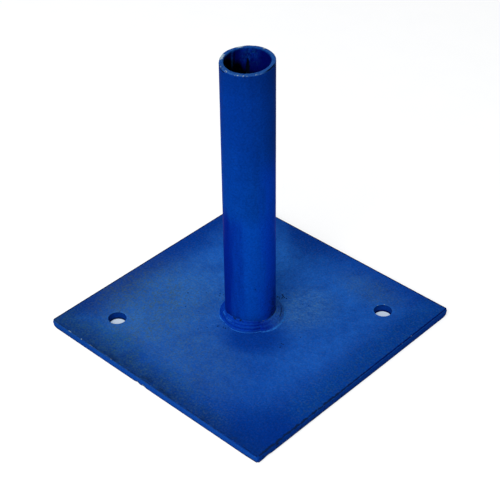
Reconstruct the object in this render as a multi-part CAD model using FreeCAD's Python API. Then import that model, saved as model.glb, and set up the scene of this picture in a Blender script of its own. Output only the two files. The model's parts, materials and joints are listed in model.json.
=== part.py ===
import FreeCAD, Part
import math
import os

from FreeCAD import Vector

# Scaffold base plate: a square sheared plate with a tube spigot welded upright on its middle.
# All sizes are in millimetres and all angles in degrees. +Z is up, and the origin is the middle of the
# plate's underside. Bearings are measured round +Z from +X. The plate's edges run along X and Y.

# Base plate
PLATE_SIDE = 200.0
PLATE_THICKNESS = 6.0
PLATE_CORNER_RADIUS = 1.3
SHEAR_ROLLOVER = 0.6
SHEAR_BURR_BREAK = 0.3

# Anchor holes, punched on one diagonal of the plate
HOLE_DIAMETER = 13.0
HOLE_EDGE_DISTANCE = 33.0
HOLE_MOUTH_BREAK = 0.4

# Spigot, a welded-seam tube sawn square
SPIGOT_OUTSIDE_DIAMETER = 36.0
SPIGOT_WALL = 3.0
SPIGOT_LENGTH = 207.0
SPIGOT_RIM_BREAK = 0.4
FOOT_GRIND_DEPTH = 0.25
FOOT_GRIND_MARGIN = 0.8
SEAM_HEIGHT = 0.9
SEAM_WIDTH = 2.6
SEAM_BEARING = 172.0

# Fillet weld: a tall run on one side of the spigot and a flat run round the rest, overlapping where they meet
TALL_RUN_START_BEARING = -120.0
TALL_RUN_END_BEARING = -18.0
RUN_OVERLAP_ANGLE = 10.0
TALL_RUN_TUBE_LEG = 9.2
TALL_RUN_PLATE_LEG = 2.9
TALL_RUN_RIDGES = 4
TALL_RUN_RIDGE_HEIGHT = 0.25
TALL_RUN_CONVEXITY = 0.5
FLAT_RUN_TUBE_LEG = 7.0
FLAT_RUN_PLATE_LEG = 7.4
FLAT_RUN_BANDS = 3
FLAT_RUN_CONVEXITY = 0.9
RUN_END_TUBE_LEG = 6.4
RUN_END_PLATE_LEG = 1.4
RUN_STATION_ANGLE = 12.0

# How quickly a run swells from its ends: under 1 it fills out early and stays full
RUN_FULLNESS = 0.5

# Where a run is fullest: at 1 in its middle, under 1 nearer its start
TALL_RUN_LEAN = 1.0
FLAT_RUN_LEAN = 0.7

# Share of a section's slope by which it runs on into the spigot and the plate, to be trimmed off there
ROOT_OVERRUN = 0.15

# How near two lengths have to be to count as the same when edges are picked
SAME_LENGTH = 1e-6
FULL_TURN = 360.0

PLATE_TOP = PLATE_THICKNESS
SPIGOT_TOP = PLATE_TOP + SPIGOT_LENGTH
SPIGOT_RADIUS = SPIGOT_OUTSIDE_DIAMETER / 2
BORE_RADIUS = SPIGOT_RADIUS - SPIGOT_WALL
FOOT_RADIUS = SPIGOT_RADIUS - FOOT_GRIND_DEPTH
FOOT_TOP = PLATE_TOP + max(TALL_RUN_TUBE_LEG, FLAT_RUN_TUBE_LEG) + FOOT_GRIND_MARGIN
UP = Vector(0, 0, 1)
ORIGIN = Vector(0, 0, 0)


def edges_on_level(shape, level):
    """Edges of a shape that lie flat on one level."""
    flat = []
    for edge in shape.Edges:
        box = edge.BoundBox
        if max(abs(box.ZMin - level), abs(box.ZMax - level)) < SAME_LENGTH:
            flat.append(edge)
    return flat


def upright_edges(shape):
    """Edges of a shape that run along +Z."""
    boxes = [(edge, edge.BoundBox) for edge in shape.Edges]
    return [edge for edge, box in boxes if box.ZLength > max(box.XLength, box.YLength)]


def hole_centres():
    """Middles of the two anchor holes, on the diagonal from the -X -Y corner to the +X +Y corner."""
    offset = PLATE_SIDE / 2 - HOLE_EDGE_DISTANCE
    return [Vector(-offset, -offset, 0), Vector(offset, offset, 0)]


def plate_blank():
    """Square-edged block of the plate's full size."""
    corner = Vector(-PLATE_SIDE / 2, -PLATE_SIDE / 2, 0)
    return Part.makeBox(PLATE_SIDE, PLATE_SIDE, PLATE_THICKNESS, corner)


def make_base_plate():
    """Square plate with dulled corners, rolled-over top edges, filed bottom edges and two punched holes."""
    blank = plate_blank()
    blank = blank.makeFillet(PLATE_CORNER_RADIUS, upright_edges(blank))
    blank = blank.makeFillet(SHEAR_ROLLOVER, edges_on_level(blank, PLATE_TOP))
    blank = blank.makeChamfer(SHEAR_BURR_BREAK, edges_on_level(blank, 0.0))
    for centre in hole_centres():
        blank = blank.cut(Part.makeCylinder(HOLE_DIAMETER / 2, PLATE_THICKNESS, centre, UP))
    rings = [edge for edge in edges_on_level(blank, PLATE_TOP) if edge.Curve.TypeId == "Part::GeomCircle"]
    mouths = [edge for edge in rings if abs(edge.Curve.Radius - HOLE_DIAMETER / 2) < SAME_LENGTH]
    return blank.makeChamfer(HOLE_MOUTH_BREAK, mouths)


def make_spigot_tube():
    """Tube with broken rim edges, a foot ground clean for welding, and its seam's flash along the bore."""
    rim = SPIGOT_TOP - SPIGOT_RIM_BREAK
    wall = [
        (BORE_RADIUS, PLATE_TOP),
        (FOOT_RADIUS, PLATE_TOP),
        (FOOT_RADIUS, FOOT_TOP),
        (SPIGOT_RADIUS, FOOT_TOP),
        (SPIGOT_RADIUS, rim),
        (SPIGOT_RADIUS - SPIGOT_RIM_BREAK, SPIGOT_TOP),
        (BORE_RADIUS + SPIGOT_RIM_BREAK, SPIGOT_TOP),
        (BORE_RADIUS, rim),
        (BORE_RADIUS, PLATE_TOP),
    ]
    section = Part.Face(Part.makePolygon([Vector(radius, 0, height) for radius, height in wall]))
    tube = section.revolve(ORIGIN, UP, FULL_TURN)
    flash_radius = (SEAM_HEIGHT ** 2 + (SEAM_WIDTH / 2) ** 2) / (2 * SEAM_HEIGHT)
    flash_middle = BORE_RADIUS - SEAM_HEIGHT + flash_radius
    bearing = math.radians(SEAM_BEARING)
    foot = Vector(flash_middle * math.cos(bearing), flash_middle * math.sin(bearing), PLATE_TOP)
    flash = Part.makeCylinder(flash_radius, rim - PLATE_TOP, foot, UP)
    mid_wall = Part.makeCylinder(BORE_RADIUS + SPIGOT_WALL / 2, SPIGOT_LENGTH, Vector(0, 0, PLATE_TOP), UP)
    return tube.fuse(flash.common(mid_wall)).removeSplitter()


def contour_point(tube_leg, plate_leg, share, rise):
    """Point of a run's section on the bearing of +X: a share of the way down its slope, a rise above it."""
    slope = math.hypot(tube_leg, plate_leg)
    outward = Vector(tube_leg / slope, 0, plate_leg / slope)
    on_slope = Vector(SPIGOT_RADIUS + plate_leg * share, 0, PLATE_TOP + tube_leg * (1 - share))
    return on_slope + outward * rise


def run_section(bearing, tube_leg, plate_leg, strips, convexity, ridge_height):
    """Closed section of a run: a convex contour in straight or arched strips, sunk into spigot and plate."""
    def on_contour(share, rise=0.0):
        return contour_point(tube_leg, plate_leg, share, convexity * 4 * share * (1 - share) + rise)

    in_spigot = on_contour(-ROOT_OVERRUN)
    in_plate = on_contour(1 + ROOT_OVERRUN)
    root = Vector(in_spigot.x, 0, in_plate.z)
    edges = [Part.makeLine(root, in_spigot), Part.makeLine(in_spigot, on_contour(0))]
    for strip in range(strips):
        upper = on_contour(strip / strips)
        lower = on_contour((strip + 1) / strips)
        if ridge_height:
            crest = on_contour((strip + 0.5) / strips, ridge_height)
            edges.append(Part.Arc(upper, crest, lower).toShape())
        else:
            edges.append(Part.makeLine(upper, lower))
    edges += [Part.makeLine(on_contour(1), in_plate), Part.makeLine(in_plate, root)]
    section = Part.Wire(edges)
    section.rotate(ORIGIN, UP, bearing)
    return section


def weld_run(start, end, tube_leg, plate_leg, strips, convexity, lean, ridge_height=0.0):
    """One run of weld between two bearings, swelling from its small ends to its full legs."""
    stations = math.ceil((end - start) / RUN_STATION_ANGLE)
    sections = []
    for station in range(stations + 1):
        share = station / stations
        fullness = max(math.sin(math.pi * share ** lean), 0.0) ** RUN_FULLNESS
        sections.append(run_section(
            start + (end - start) * share,
            RUN_END_TUBE_LEG + (tube_leg - RUN_END_TUBE_LEG) * fullness,
            RUN_END_PLATE_LEG + (plate_leg - RUN_END_PLATE_LEG) * fullness,
            strips,
            convexity,
            ridge_height,
        ))
    return Part.makeLoft(sections, True)


def make_fillet_weld():
    """Both weld runs in one bead, trimmed to the spigot's ground foot and the plate's top face."""
    tall_run = weld_run(TALL_RUN_START_BEARING, TALL_RUN_END_BEARING, TALL_RUN_TUBE_LEG, TALL_RUN_PLATE_LEG,
                        TALL_RUN_RIDGES, TALL_RUN_CONVEXITY, TALL_RUN_LEAN, TALL_RUN_RIDGE_HEIGHT)
    flat_run_start = TALL_RUN_END_BEARING - RUN_OVERLAP_ANGLE
    flat_run_end = TALL_RUN_START_BEARING + FULL_TURN + RUN_OVERLAP_ANGLE
    flat_run = weld_run(flat_run_start, flat_run_end, FLAT_RUN_TUBE_LEG, FLAT_RUN_PLATE_LEG,
                        FLAT_RUN_BANDS, FLAT_RUN_CONVEXITY, FLAT_RUN_LEAN)
    spigot_foot = Part.makeCylinder(FOOT_RADIUS, SPIGOT_TOP, ORIGIN, UP)
    return tall_run.fuse(flat_run).cut(spigot_foot).cut(plate_blank())


PIECES = {
    "base_plate": make_base_plate,
    "spigot_tube": make_spigot_tube,
    "fillet_weld": make_fillet_weld,
}

os.makedirs("parts", exist_ok=True)
for name, make_piece in PIECES.items():
    piece = make_piece().Solids[0]
    piece.exportStep(os.path.join("parts", name + ".step"))
    print(name, "volume", round(piece.Volume, 1), "faces", len(piece.Faces), "valid", piece.isValid())
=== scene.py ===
import json
import math
import random
from typing import NamedTuple

import bpy
from bpy.props import FloatProperty, FloatVectorProperty, IntProperty, PointerProperty
from bpy.types import Operator, Panel, PropertyGroup
from mathutils import Matrix, Vector, noise
from mathutils.geometry import delaunay_2d_cdt


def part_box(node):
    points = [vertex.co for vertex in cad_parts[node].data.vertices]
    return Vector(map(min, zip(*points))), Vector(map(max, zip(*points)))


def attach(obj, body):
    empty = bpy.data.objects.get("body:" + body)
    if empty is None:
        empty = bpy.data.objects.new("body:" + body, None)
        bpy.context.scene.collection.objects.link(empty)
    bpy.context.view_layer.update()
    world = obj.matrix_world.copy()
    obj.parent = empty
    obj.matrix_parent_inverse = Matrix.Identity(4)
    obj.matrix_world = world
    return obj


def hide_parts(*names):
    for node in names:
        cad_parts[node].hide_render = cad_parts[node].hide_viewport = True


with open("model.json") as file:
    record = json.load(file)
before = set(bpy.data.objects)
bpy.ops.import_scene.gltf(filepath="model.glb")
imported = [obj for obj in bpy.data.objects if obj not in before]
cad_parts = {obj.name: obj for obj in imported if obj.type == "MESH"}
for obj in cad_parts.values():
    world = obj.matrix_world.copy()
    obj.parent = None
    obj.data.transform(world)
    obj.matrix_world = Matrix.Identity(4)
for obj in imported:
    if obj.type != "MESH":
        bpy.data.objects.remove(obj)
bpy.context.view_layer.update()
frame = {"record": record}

bl_info = {
    "name": "Scaffold Base Plate",
    "version": (1, 0, 0),
    "blender": (4, 5, 0),
    "location": "View3D > Sidebar > Scaffold",
    "description": "Builds the painted look of a welded scaffold base plate around its packed solids",
    "category": "Object",
}

# Sizes are in metres, as Blender and the frame have them. Settings and tables give them in millimetres.
MM = 0.001
FULL_TURN = 2 * math.pi
UP = Vector((0, 0, 1))

# What the solids give: the plate's and the spigot's outer sizes and the anchor holes' places
PLATE_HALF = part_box("base_plate")[1].x
PLATE_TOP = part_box("base_plate")[1].z
SPIGOT_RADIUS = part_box("spigot_tube")[1].x
SPIGOT_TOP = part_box("spigot_tube")[1].z
ANCHOR_HOLES = next(mount for mount in frame["record"]["mounts"] if mount["name"] == "anchor_holes")["dims"]
HOLE_RADIUS = ANCHOR_HOLES["hole_r_mm"] * MM
HOLE_OFFSET = ANCHOR_HOLES["pcd_mm"] * MM / 2 / math.sqrt(2)
HOLE_CENTRES = (Vector((-HOLE_OFFSET, -HOLE_OFFSET)), Vector((HOLE_OFFSET, HOLE_OFFSET)))

# Masks that the meshes carry for their paint: pale rubs and painted highlights, bare chips, and dark
# cracks, grime and painted shade
MASKS = ("edge_rub_and_highlight", "bare_chip", "dark_crack_and_shade")

# Kind of triangulation that keeps what lies inside the borders
INSIDE_BORDERS = 1

# Kinds of socket of a node group
VALUE = "NodeSocketFloat"
COLOUR = "NodeSocketColor"
PLACE = "NodeSocketVector"


def length(name, description, millimetres):
    """A size that a user may change, given in millimetres."""
    return FloatProperty(name=name, description=description, default=millimetres * MM,
                         unit="LENGTH", precision=5)


def angle(name, description, degrees):
    """A bearing or turn that a user may change, given in degrees."""
    return FloatProperty(name=name, description=description, default=math.radians(degrees), subtype="ANGLE")


def colour(name, description, default):
    """A linear colour that a user may change."""
    return FloatVectorProperty(name=name, description=description, default=default, size=3,
                               subtype="COLOR", min=0.0, max=1.0)


def share(name, description, default):
    """A strength from none to full that a user may change."""
    return FloatProperty(name=name, description=description, default=default,
                         min=0.0, max=1.0, subtype="FACTOR")


def count(name, description, default):
    """A number of things that a user may change."""
    return IntProperty(name=name, description=description, default=default, min=0)


def power(name, description, watts):
    """A lamp's power that a user may change."""
    return FloatProperty(name=name, description=description, default=watts, unit="POWER")


class PlateSettings(PropertyGroup):
    """Sizes and colours of the sheared base plate."""
    corner_radius: length("Corner Radius", "Rounding of the plate's four corners", 1.6)
    rollover: length("Rollover", "Depth of the rounding that the shear left on the upper edge", 0.6)
    burr: length("Burr Radius", "Rounding of the filed lower edge", 0.25)
    waviness: length("Edge Waviness", "How far the sheared edge wanders inwards", 0.2)
    edge_spacing: length("Edge Spacing", "Distance between points along the edge", 0.8)
    face_spacing: length("Face Spacing", "Distance between points on the upper face", 1.8)
    mouth_break: length("Hole Mouth Break", "Rounding of the punched holes' rims", 0.4)
    hole_lip: length("Hole Lip", "How far paint has sagged inwards at a hole's lower rim", 0.6)
    warp: length("Warp", "Depth of the hollows that rolling and welding left in the upper face", 0.10)
    paint: colour("Paint", "Clean blue enamel", (0.0012, 0.031, 0.226))
    # The chalk also lays painted light on the plate
    chalk: colour("Chalk", "Pale bloom on the enamel", (0.019, 0.152, 0.585))
    chalk_amount: share("Chalk Amount", "How much of the bloom lies on the upper face", 0.335)
    # Painted shade along the front left edge; the same colour darkens the left corner
    edge_shade_paint: colour("Thin Paint", "Darker enamel where the brush ran dry", (0.001, 0.0225, 0.160))
    dust: colour("Dust", "Olive dust trodden into the paint", (0.042, 0.075, 0.024))
    dust_amount: share("Dust Amount", "How much dust lies where it gathers most", 0.34)
    edge_dust: colour("Edge Dust", "Greener dust along the front left edge", (0.031, 0.100, 0.036))
    side_dust: colour("Side Dust", "Thin green dust along the front right edge", (0.006, 0.085, 0.100))


class SpigotSettings(PropertyGroup):
    """Sizes and colours of the spigot tube."""
    wall: length("Wall", "Thickness of the tube's wall", 3.0)
    rim_break: length("Rim Break", "Rounding of the sawn rim's edges", 0.4)
    foot_depth: length("Ground Foot", "How far the tube's foot is ground back for welding", 0.25)
    foot_top: length("Foot Top", "Height at which the ground foot ends", 16.0)
    seam_height: length("Seam Height", "Height of the seam's flash inside the bore", 0.9)
    seam_width: length("Seam Width", "Width of the seam's flash inside the bore", 2.6)
    seam_bearing: angle("Seam Bearing", "Where the seam stands in the bore", 172.0)
    rim_wear: length("Rim Wear", "How deep the sawn rim is knocked about", 0.25)
    rim_slant: length("Rim Slant", "How much lower the saw left one side of the rim", 1.9)
    slant_bearing: angle("Slant Bearing", "Where the rim is lowest", -85.0)
    paint: colour("Paint", "Clean blue enamel", (0.0005, 0.0235, 0.197))
    chalk: colour("Chalk", "Paler enamel on the upper length", (0.0015, 0.10, 0.56))
    chalk_amount: share("Chalk Amount", "How much of the paler enamel shows", 0.24)
    # Painted shade on the left of the tube's lower length as seen
    lower_left_shade: colour("Deep Paint", "Darker enamel on the lower length", (0.0003, 0.0115, 0.190))
    # Painted light down the right side of the tube as seen
    right_side_light: colour("Side Paint", "Thick enamel that ran down one side", (0.0003, 0.034, 0.43))
    # Painted shade: the tube is darkened just under its rim
    under_rim_shade: colour("Top Paint", "Thin enamel just under the rim", (0.0002, 0.008, 0.080))
    # Painted light: a brighter band from the middle rightwards on the tube's lower length as seen
    lower_band_light: colour("Vivid Paint", "Brighter enamel on the lower length", (0.0008, 0.048, 0.345))
    bore_paint: colour("Bore Paint", "Thin coat inside the tube", (0.0003, 0.0022, 0.086))
    # Painted light: a brighter pool high in the middle of the bore as seen
    bore_lit: colour("Lit Bore", "Thicker coat high in the middle of the bore", (0.0004, 0.014, 0.17))
    # Painted shade deep in the bore and on its left side as seen
    bore_shade: colour("Bore Shade", "Bare and sooty side of the bore", (0.0001, 0.0002, 0.0015))
    # Dark dirt at the weld, also used for painted shade on the right of the tube's foot
    dust: colour("Dust", "Dark dirt at the weld", (0.002, 0.010, 0.060))


class WeldSettings(PropertyGroup):
    """Sizes and colours of the two weld runs and their spatter."""
    tall_start: angle("Tall Run Start", "Bearing where the tall run starts", -120.0)
    tall_end: angle("Tall Run End", "Bearing where the tall run ends", -16.0)
    overlap: angle("Run Overlap", "How far the flat run laps under the tall one", 13.0)
    tall_tube_leg: length("Tall Run Height", "Reach of the tall run up the tube", 9.2)
    tall_plate_leg: length("Tall Run Width", "Reach of the tall run over the plate", 2.9)
    tall_ridges: count("Tall Run Ridges", "Passes that show on the tall run", 4)
    ridge_height: length("Ridge Height", "Height of those ridges", 0.55)
    flat_rings: count("Flat Run Rings", "Rings that show on the flat run", 3)
    flat_tube_leg: length("Flat Run Height", "Reach of the flat run up the tube", 7.0)
    flat_plate_leg: length("Flat Run Width", "Reach of the flat run over the plate", 7.4)
    end_tube_leg: length("Run End Height", "Reach up the tube at a run's ends", 6.4)
    end_plate_leg: length("Run End Width", "Reach over the plate at a run's ends", 1.4)
    roughness_depth: length("Roughness", "Depth of the bead's ripples and lumps", 0.16)
    flat_ridge_height: length("Flat Run Ridge Height", "Height of the flat run's rings", 0.16)
    nose: angle("Tall Run Nose", "How far the tall run's end is rounded off", 8.0)
    spatter_count: count("Spatter", "Stray drops of weld metal round the bead", 12)
    paint: colour("Paint", "Blue enamel over the bead", (0.0004, 0.0215, 0.250))
    # Painted shade where the tall run ends
    run_end_shade: colour("End Paint", "Deeper enamel where the tall run ends", (0.0002, 0.0105, 0.190))
    # Also the colour of painted highlights on the bead's crests and upper toe
    chalk: colour("Chalk", "Pale enamel on the bead's crests", (0.022, 0.18, 0.60))
    chalk_amount: share("Chalk Amount", "How much of the pale enamel shows on the bead", 0.12)
    dust: colour("Dust", "Pale dust on the flat run", (0.05, 0.13, 0.14))
    scale: colour("Weld Scale", "Burnt scale on the spatter", (0.004, 0.008, 0.020))


class StageSettings(PropertyGroup):
    """Camera, lamps and floor."""
    azimuth: angle("Azimuth", "Camera's turn round the plate from the side facing -Y", 43.586)
    elevation: angle("Elevation", "Camera's height above the horizon", 37.378)
    roll: angle("Roll", "Camera's turn about its own line of sight", -0.694)
    distance: length("Distance", "From the camera to the plate, along the line of sight", 981.1)
    rise: length("Aim Rise", "How far above the plate's middle the camera aims", 45.58)
    drift: length("Aim Drift", "How far right of the plate's middle the camera aims", -0.34)
    lens: FloatProperty(name="Lens", description="Focal length on a 36 mm frame", default=99.07)
    key_power: power("Key Power", "Soft box in front", 19.0)
    left_power: power("Left Power", "Large soft box on the left", 5.8)
    top_power: power("Top Power", "Large soft box overhead", 6.3)
    room_light: FloatProperty(name="Room Light", description="Even light from all round", default=0.36)
    floor_tint: colour("Floor", "Pale floor", (0.86, 0.87, 0.88))


def smooth_step(low, high, value):
    """Rises smoothly from 0 at low to 1 at high."""
    part = min(max((value - low) / (high - low), 0.0), 1.0)
    return part * part * (3 - 2 * part)


def ramp(low, high, value):
    """Rises smoothly from 0 to 1 between two lengths in millimetres."""
    return smooth_step(low * MM, high * MM, value)


def bump_at(distance, reach):
    """Rounded bump: 1 at no distance, 0 from the reach on."""
    return 1 - smooth_step(0.0, reach, abs(distance))


def lumps(place, size, octaves=3):
    """Smooth random value, about -1 to 1, whose lumps are of the given size."""
    return noise.fractal(place / size, 1.0, 2.0, octaves)


def hollows(place, size, octaves=3):
    """Smooth random depth, about 0 to 1, whose hollows are of the given size."""
    return 0.5 + 0.5 * lumps(place, size, octaves)


def heading(turn):
    """Level direction on a bearing."""
    return Vector((math.cos(turn), math.sin(turn), 0.0))


def bearing_gap(first, second):
    """Turn from one bearing to another, between half a turn back and half a turn on."""
    return (first - second + math.pi) % FULL_TURN - math.pi


def full_turns(steps):
    """Bearings all round in even steps."""
    return [FULL_TURN * step / steps for step in range(steps)]


def quarter_arc(steps):
    """Cosines and sines over a quarter turn in even steps."""
    turns = [FULL_TURN / 4 * step / steps for step in range(steps + 1)]
    return [(math.cos(turn), math.sin(turn)) for turn in turns]


def spread(start, end, steps):
    """Values in even steps from a start, which is left out, to an end."""
    return [start + (end - start) * step / steps for step in range(1, steps + 1)]


class RoundMark(NamedTuple):
    """Wear about a bearing on a round piece, with its bearing and reach in degrees."""
    bearing: float
    reach: float
    amount: float = 1.0

    def at(self, turn):
        """The amount on the mark's bearing, falling to 0 at its reach."""
        gap = bearing_gap(turn, math.radians(self.bearing))
        return self.amount * bump_at(math.degrees(gap), self.reach)


def strongest(marks, turn):
    """The largest amount that any of several round marks has at a bearing."""
    return max(mark.at(turn) for mark in marks)


class MeshSheet:
    """Points, faces and masks of one piece while it is being made."""

    def __init__(self):
        self.points = []
        self.faces = []
        self.masks = []

    def add(self, point, rub=0.0, chip=0.0, crack=0.0):
        """Adds a point with the values of its masks, and gives its number."""
        self.points.append(point)
        self.masks.append((rub, chip, crack))
        return len(self.points) - 1

    def skin(self, rings):
        """Faces between closed rings that follow each other; they look outwards where the rings climb."""
        for first, second in zip(rings, rings[1:]):
            for here in range(len(first)):
                self.faces.append((first[here - 1], first[here], second[here], second[here - 1]))

    def fill(self, rings, inner_points, face_up):
        """Triangles over the flat region inside the first ring and outside the others."""
        numbers = [number for ring in rings for number in ring] + inner_points
        flat = [self.points[number].to_2d() for number in numbers]
        borders = []
        for ring in rings:
            start = len(borders)
            borders += [(start + step, start + (step + 1) % len(ring)) for step in range(len(ring))]
        found = delaunay_2d_cdt(flat, borders, [], INSIDE_BORDERS, 1e-9)
        origins = [source[0] for source in found[3]]
        holes = [set(ring) for ring in rings[1:]]
        for face in found[2]:
            corners = [numbers[origins[corner]] for corner in face]
            if not any(hole.issuperset(corners) for hole in holes):
                self.faces.append(corners if face_up else corners[::-1])

    def make(self, name, material, slot, *nodes):
        """Turns the sheet into a piece that rides on the part and stands for the given nodes."""
        mesh = bpy.data.meshes.new(name)
        mesh.from_pydata(self.points, [], self.faces)
        for mask, values in zip(MASKS, zip(*self.masks)):
            mesh.attributes.new(mask, "FLOAT", "POINT").data.foreach_set("value", values)
        mesh.polygons.foreach_set("use_smooth", [True] * len(mesh.polygons))
        mesh.materials.append(material)
        piece = bpy.data.objects.new(name, mesh)
        bpy.context.scene.collection.objects.link(piece)
        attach(piece, "root")
        if nodes:
            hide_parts(*nodes)
        return piece


class Pattern(NamedTuple):
    """A noise pattern: its scale, its levels of detail and how rough those are."""
    scale: float
    detail: float = 3.0
    roughness: float = 0.55


class Field:
    """A value, place or colour that differs over a surface: one output of a node, for plain arithmetic."""

    def __init__(self, tree, socket):
        self.tree = tree
        self.socket = socket

    def __add__(self, other):
        return calculate(self.tree, "ADD", self, other)

    def __sub__(self, other):
        return calculate(self.tree, "SUBTRACT", self, other)

    def __rsub__(self, other):
        return calculate(self.tree, "SUBTRACT", other, self)

    def __mul__(self, other):
        return calculate(self.tree, "MULTIPLY", self, other)

    def __abs__(self):
        return calculate(self.tree, "ABSOLUTE", self)

    def fade(self, low, high, start=0.0, end=1.0):
        """Runs smoothly from start to end while the field goes from low to high."""
        feeds = {"Value": self, "From Min": low, "From Max": high, "To Min": start, "To Max": end}
        return add_field(self.tree, "ShaderNodeMapRange", "Result", feeds, interpolation_type="SMOOTHSTEP")

    def ramp(self, low, high, start=0.0, end=1.0):
        """Runs smoothly from start to end between two lengths in millimetres."""
        return self.fade(low * MM, high * MM, start, end)

    def clouds(self, pattern):
        """Noise over a place, from 0 to 1."""
        feeds = {"Scale": pattern.scale, "Detail": pattern.detail, "Roughness": pattern.roughness}
        return add_field(self.tree, "ShaderNodeTexNoise", "Fac", {"Vector": self, **feeds})

    def moved(self, distance):
        """The same place moved by some metres, so that a second pattern differs from the first."""
        feeds = {0: self, 1: (distance, 0.0, 0.0)}
        return add_field(self.tree, "ShaderNodeVectorMath", "Vector", feeds, operation="ADD")


def add_node(tree, kind, feeds=None, **options):
    """Adds a node, sets its options, and feeds its inputs with fields, numbers or plain colours."""
    made = tree.nodes.new(kind)
    for name, value in options.items():
        setattr(made, name, value)
    for name, value in (feeds or {}).items():
        socket = made.inputs[name]
        if isinstance(value, Field):
            tree.links.new(value.socket, socket)
        elif socket.type == "RGBA":
            socket.default_value = (*value, 1.0)
        else:
            socket.default_value = value
    return made


def add_field(tree, kind, output, feeds=None, **options):
    """Adds a node, and gives one of its outputs."""
    return Field(tree, add_node(tree, kind, feeds, **options).outputs[output])


def add_fields(tree, kind, feeds=None, **options):
    """Adds a node, and gives all its outputs by name."""
    return {socket.name: Field(tree, socket) for socket in add_node(tree, kind, feeds, **options).outputs}


def calculate(tree, operation, first, second=0.0):
    """The result of a math node."""
    return add_field(tree, "ShaderNodeMath", 0, {0: first, 1: second}, operation=operation)


def largest(first, *others):
    """The largest of several fields."""
    for other in others:
        first = calculate(first.tree, "MAXIMUM", first, other)
    return first


def blend(amount, under, over):
    """Lays one colour over another, as much as the amount says."""
    feeds = {0: amount, 6: under, 7: over}
    return add_field(amount.tree, "ShaderNodeMix", 2, feeds, data_type="RGBA", clamp_factor=True)


def dimmed(tint, level):
    """A colour with its brightness multiplied."""
    feeds = {0: 1.0, 6: tint, 7: level}
    return add_field(tint.tree, "ShaderNodeMix", 2, feeds, data_type="RGBA", blend_type="MULTIPLY")


def emptied_tree(owner):
    """Node tree of a new material or room, without nodes."""
    owner.use_nodes = True
    owner.node_tree.nodes.clear()
    return owner.node_tree


def new_group(name, inputs, outputs):
    """Node group with named sockets; gives it with the fields that it is fed."""
    group = bpy.data.node_groups.new(name, "ShaderNodeTree")
    for label, kind in inputs.items():
        group.interface.new_socket(label, in_out="INPUT", socket_type=kind)
    for label, kind in outputs.items():
        group.interface.new_socket(label, in_out="OUTPUT", socket_type=kind)
    return group, add_fields(group, "NodeGroupInput")


# Noise patterns of the paint and the floor
GRAIN = Pattern(780.0, 2.0, 0.7)
GRIT = Pattern(700.0, 2.0, 0.7)
MOTTLE = Pattern(190.0)
DRIFT = Pattern(46.0, 4.0)
RAGGED_EDGES = Pattern(620.0, 3.0, 0.65)
FINE_CHIPS = Pattern(1200.0, 2.0, 0.6)
WANDERING = Pattern(60.0)
EDGE_SHADOW_BLOTCHES = Pattern(75.0)
BORE_PATCHES = Pattern(420.0)
FLOOR_GRAIN = Pattern(40.0)
FLECK_SCALE = 210.0

# Linear colours that several pieces share or that only show in small marks
RUBBED_BLUE = (0.012, 0.13, 0.45)
# Pale rubs in the bore, also used for painted highlights on the seam and the rim
BORE_RUB_AND_HIGHLIGHT = (0.004, 0.060, 0.24)
# Pale rim colour: partly wear, partly painted light
RIM_RUB_AND_LIGHT = (0.030, 0.12, 0.31)
BARE_STEEL = (0.13, 0.20, 0.25)
BRIGHT_STEEL = (0.25, 0.34, 0.42)
WELD_FLECK = (0.09, 0.16, 0.12)
# Dark of cracks, also used for painted shade on the plate and between the weld's ridges
CRACK_AND_SHADE_NAVY = (0.003, 0.013, 0.060)
REAR_CRACK_AND_SHADE_BLUE = (0.0006, 0.005, 0.070)
# Dark of the tube's cracks and dents, also used for painted shadow beside the seam
TUBE_DARK_AND_SHADE = (0.0012, 0.0035, 0.010)
# Deeper blue laid near the front corner as painted shade
FRONT_TIP_SHADE_BLUE = (0.0003, 0.0222, 0.183)
# Painted shadow along the front left edge
EDGE_SHADOW_NAVY = (0.003, 0.014, 0.050)
# Pale dust round the weld, partly painted light lifting the tube's shadow
WELD_DUST_AND_LIGHT = (0.10, 0.29, 0.50)
SPATTER_DUST = (0.002, 0.020, 0.10)
SAND = (0.10, 0.13, 0.08)
DARK_FLECK = (0.004, 0.014, 0.05)
PALE_FLECK = (0.26, 0.27, 0.14)

# The paint's faint mirror shine, how strongly its relief shows, and how much rougher bare metal is
FAINT_SHINE = 0.001
RELIEF_STRENGTH = 0.6
BARE_ROUGHNESS = 0.15


def flecked(place, amount, tint):
    """Scatters dark and pale flecks over a colour."""
    specks = add_fields(place.tree, "ShaderNodeTexVoronoi", {"Vector": place, "Scale": FLECK_SCALE})
    lot = add_field(place.tree, "ShaderNodeSeparateColor", 0, {0: specks["Color"]})
    near = specks["Distance"].fade(0.05, 0.11, 1.0, 0.0) * amount
    tint = blend(near * lot.fade(0.62, 0.66) * 0.5, tint, DARK_FLECK)
    return blend(near * lot.fade(0.20, 0.16) * 0.12, tint, PALE_FLECK)


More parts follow.
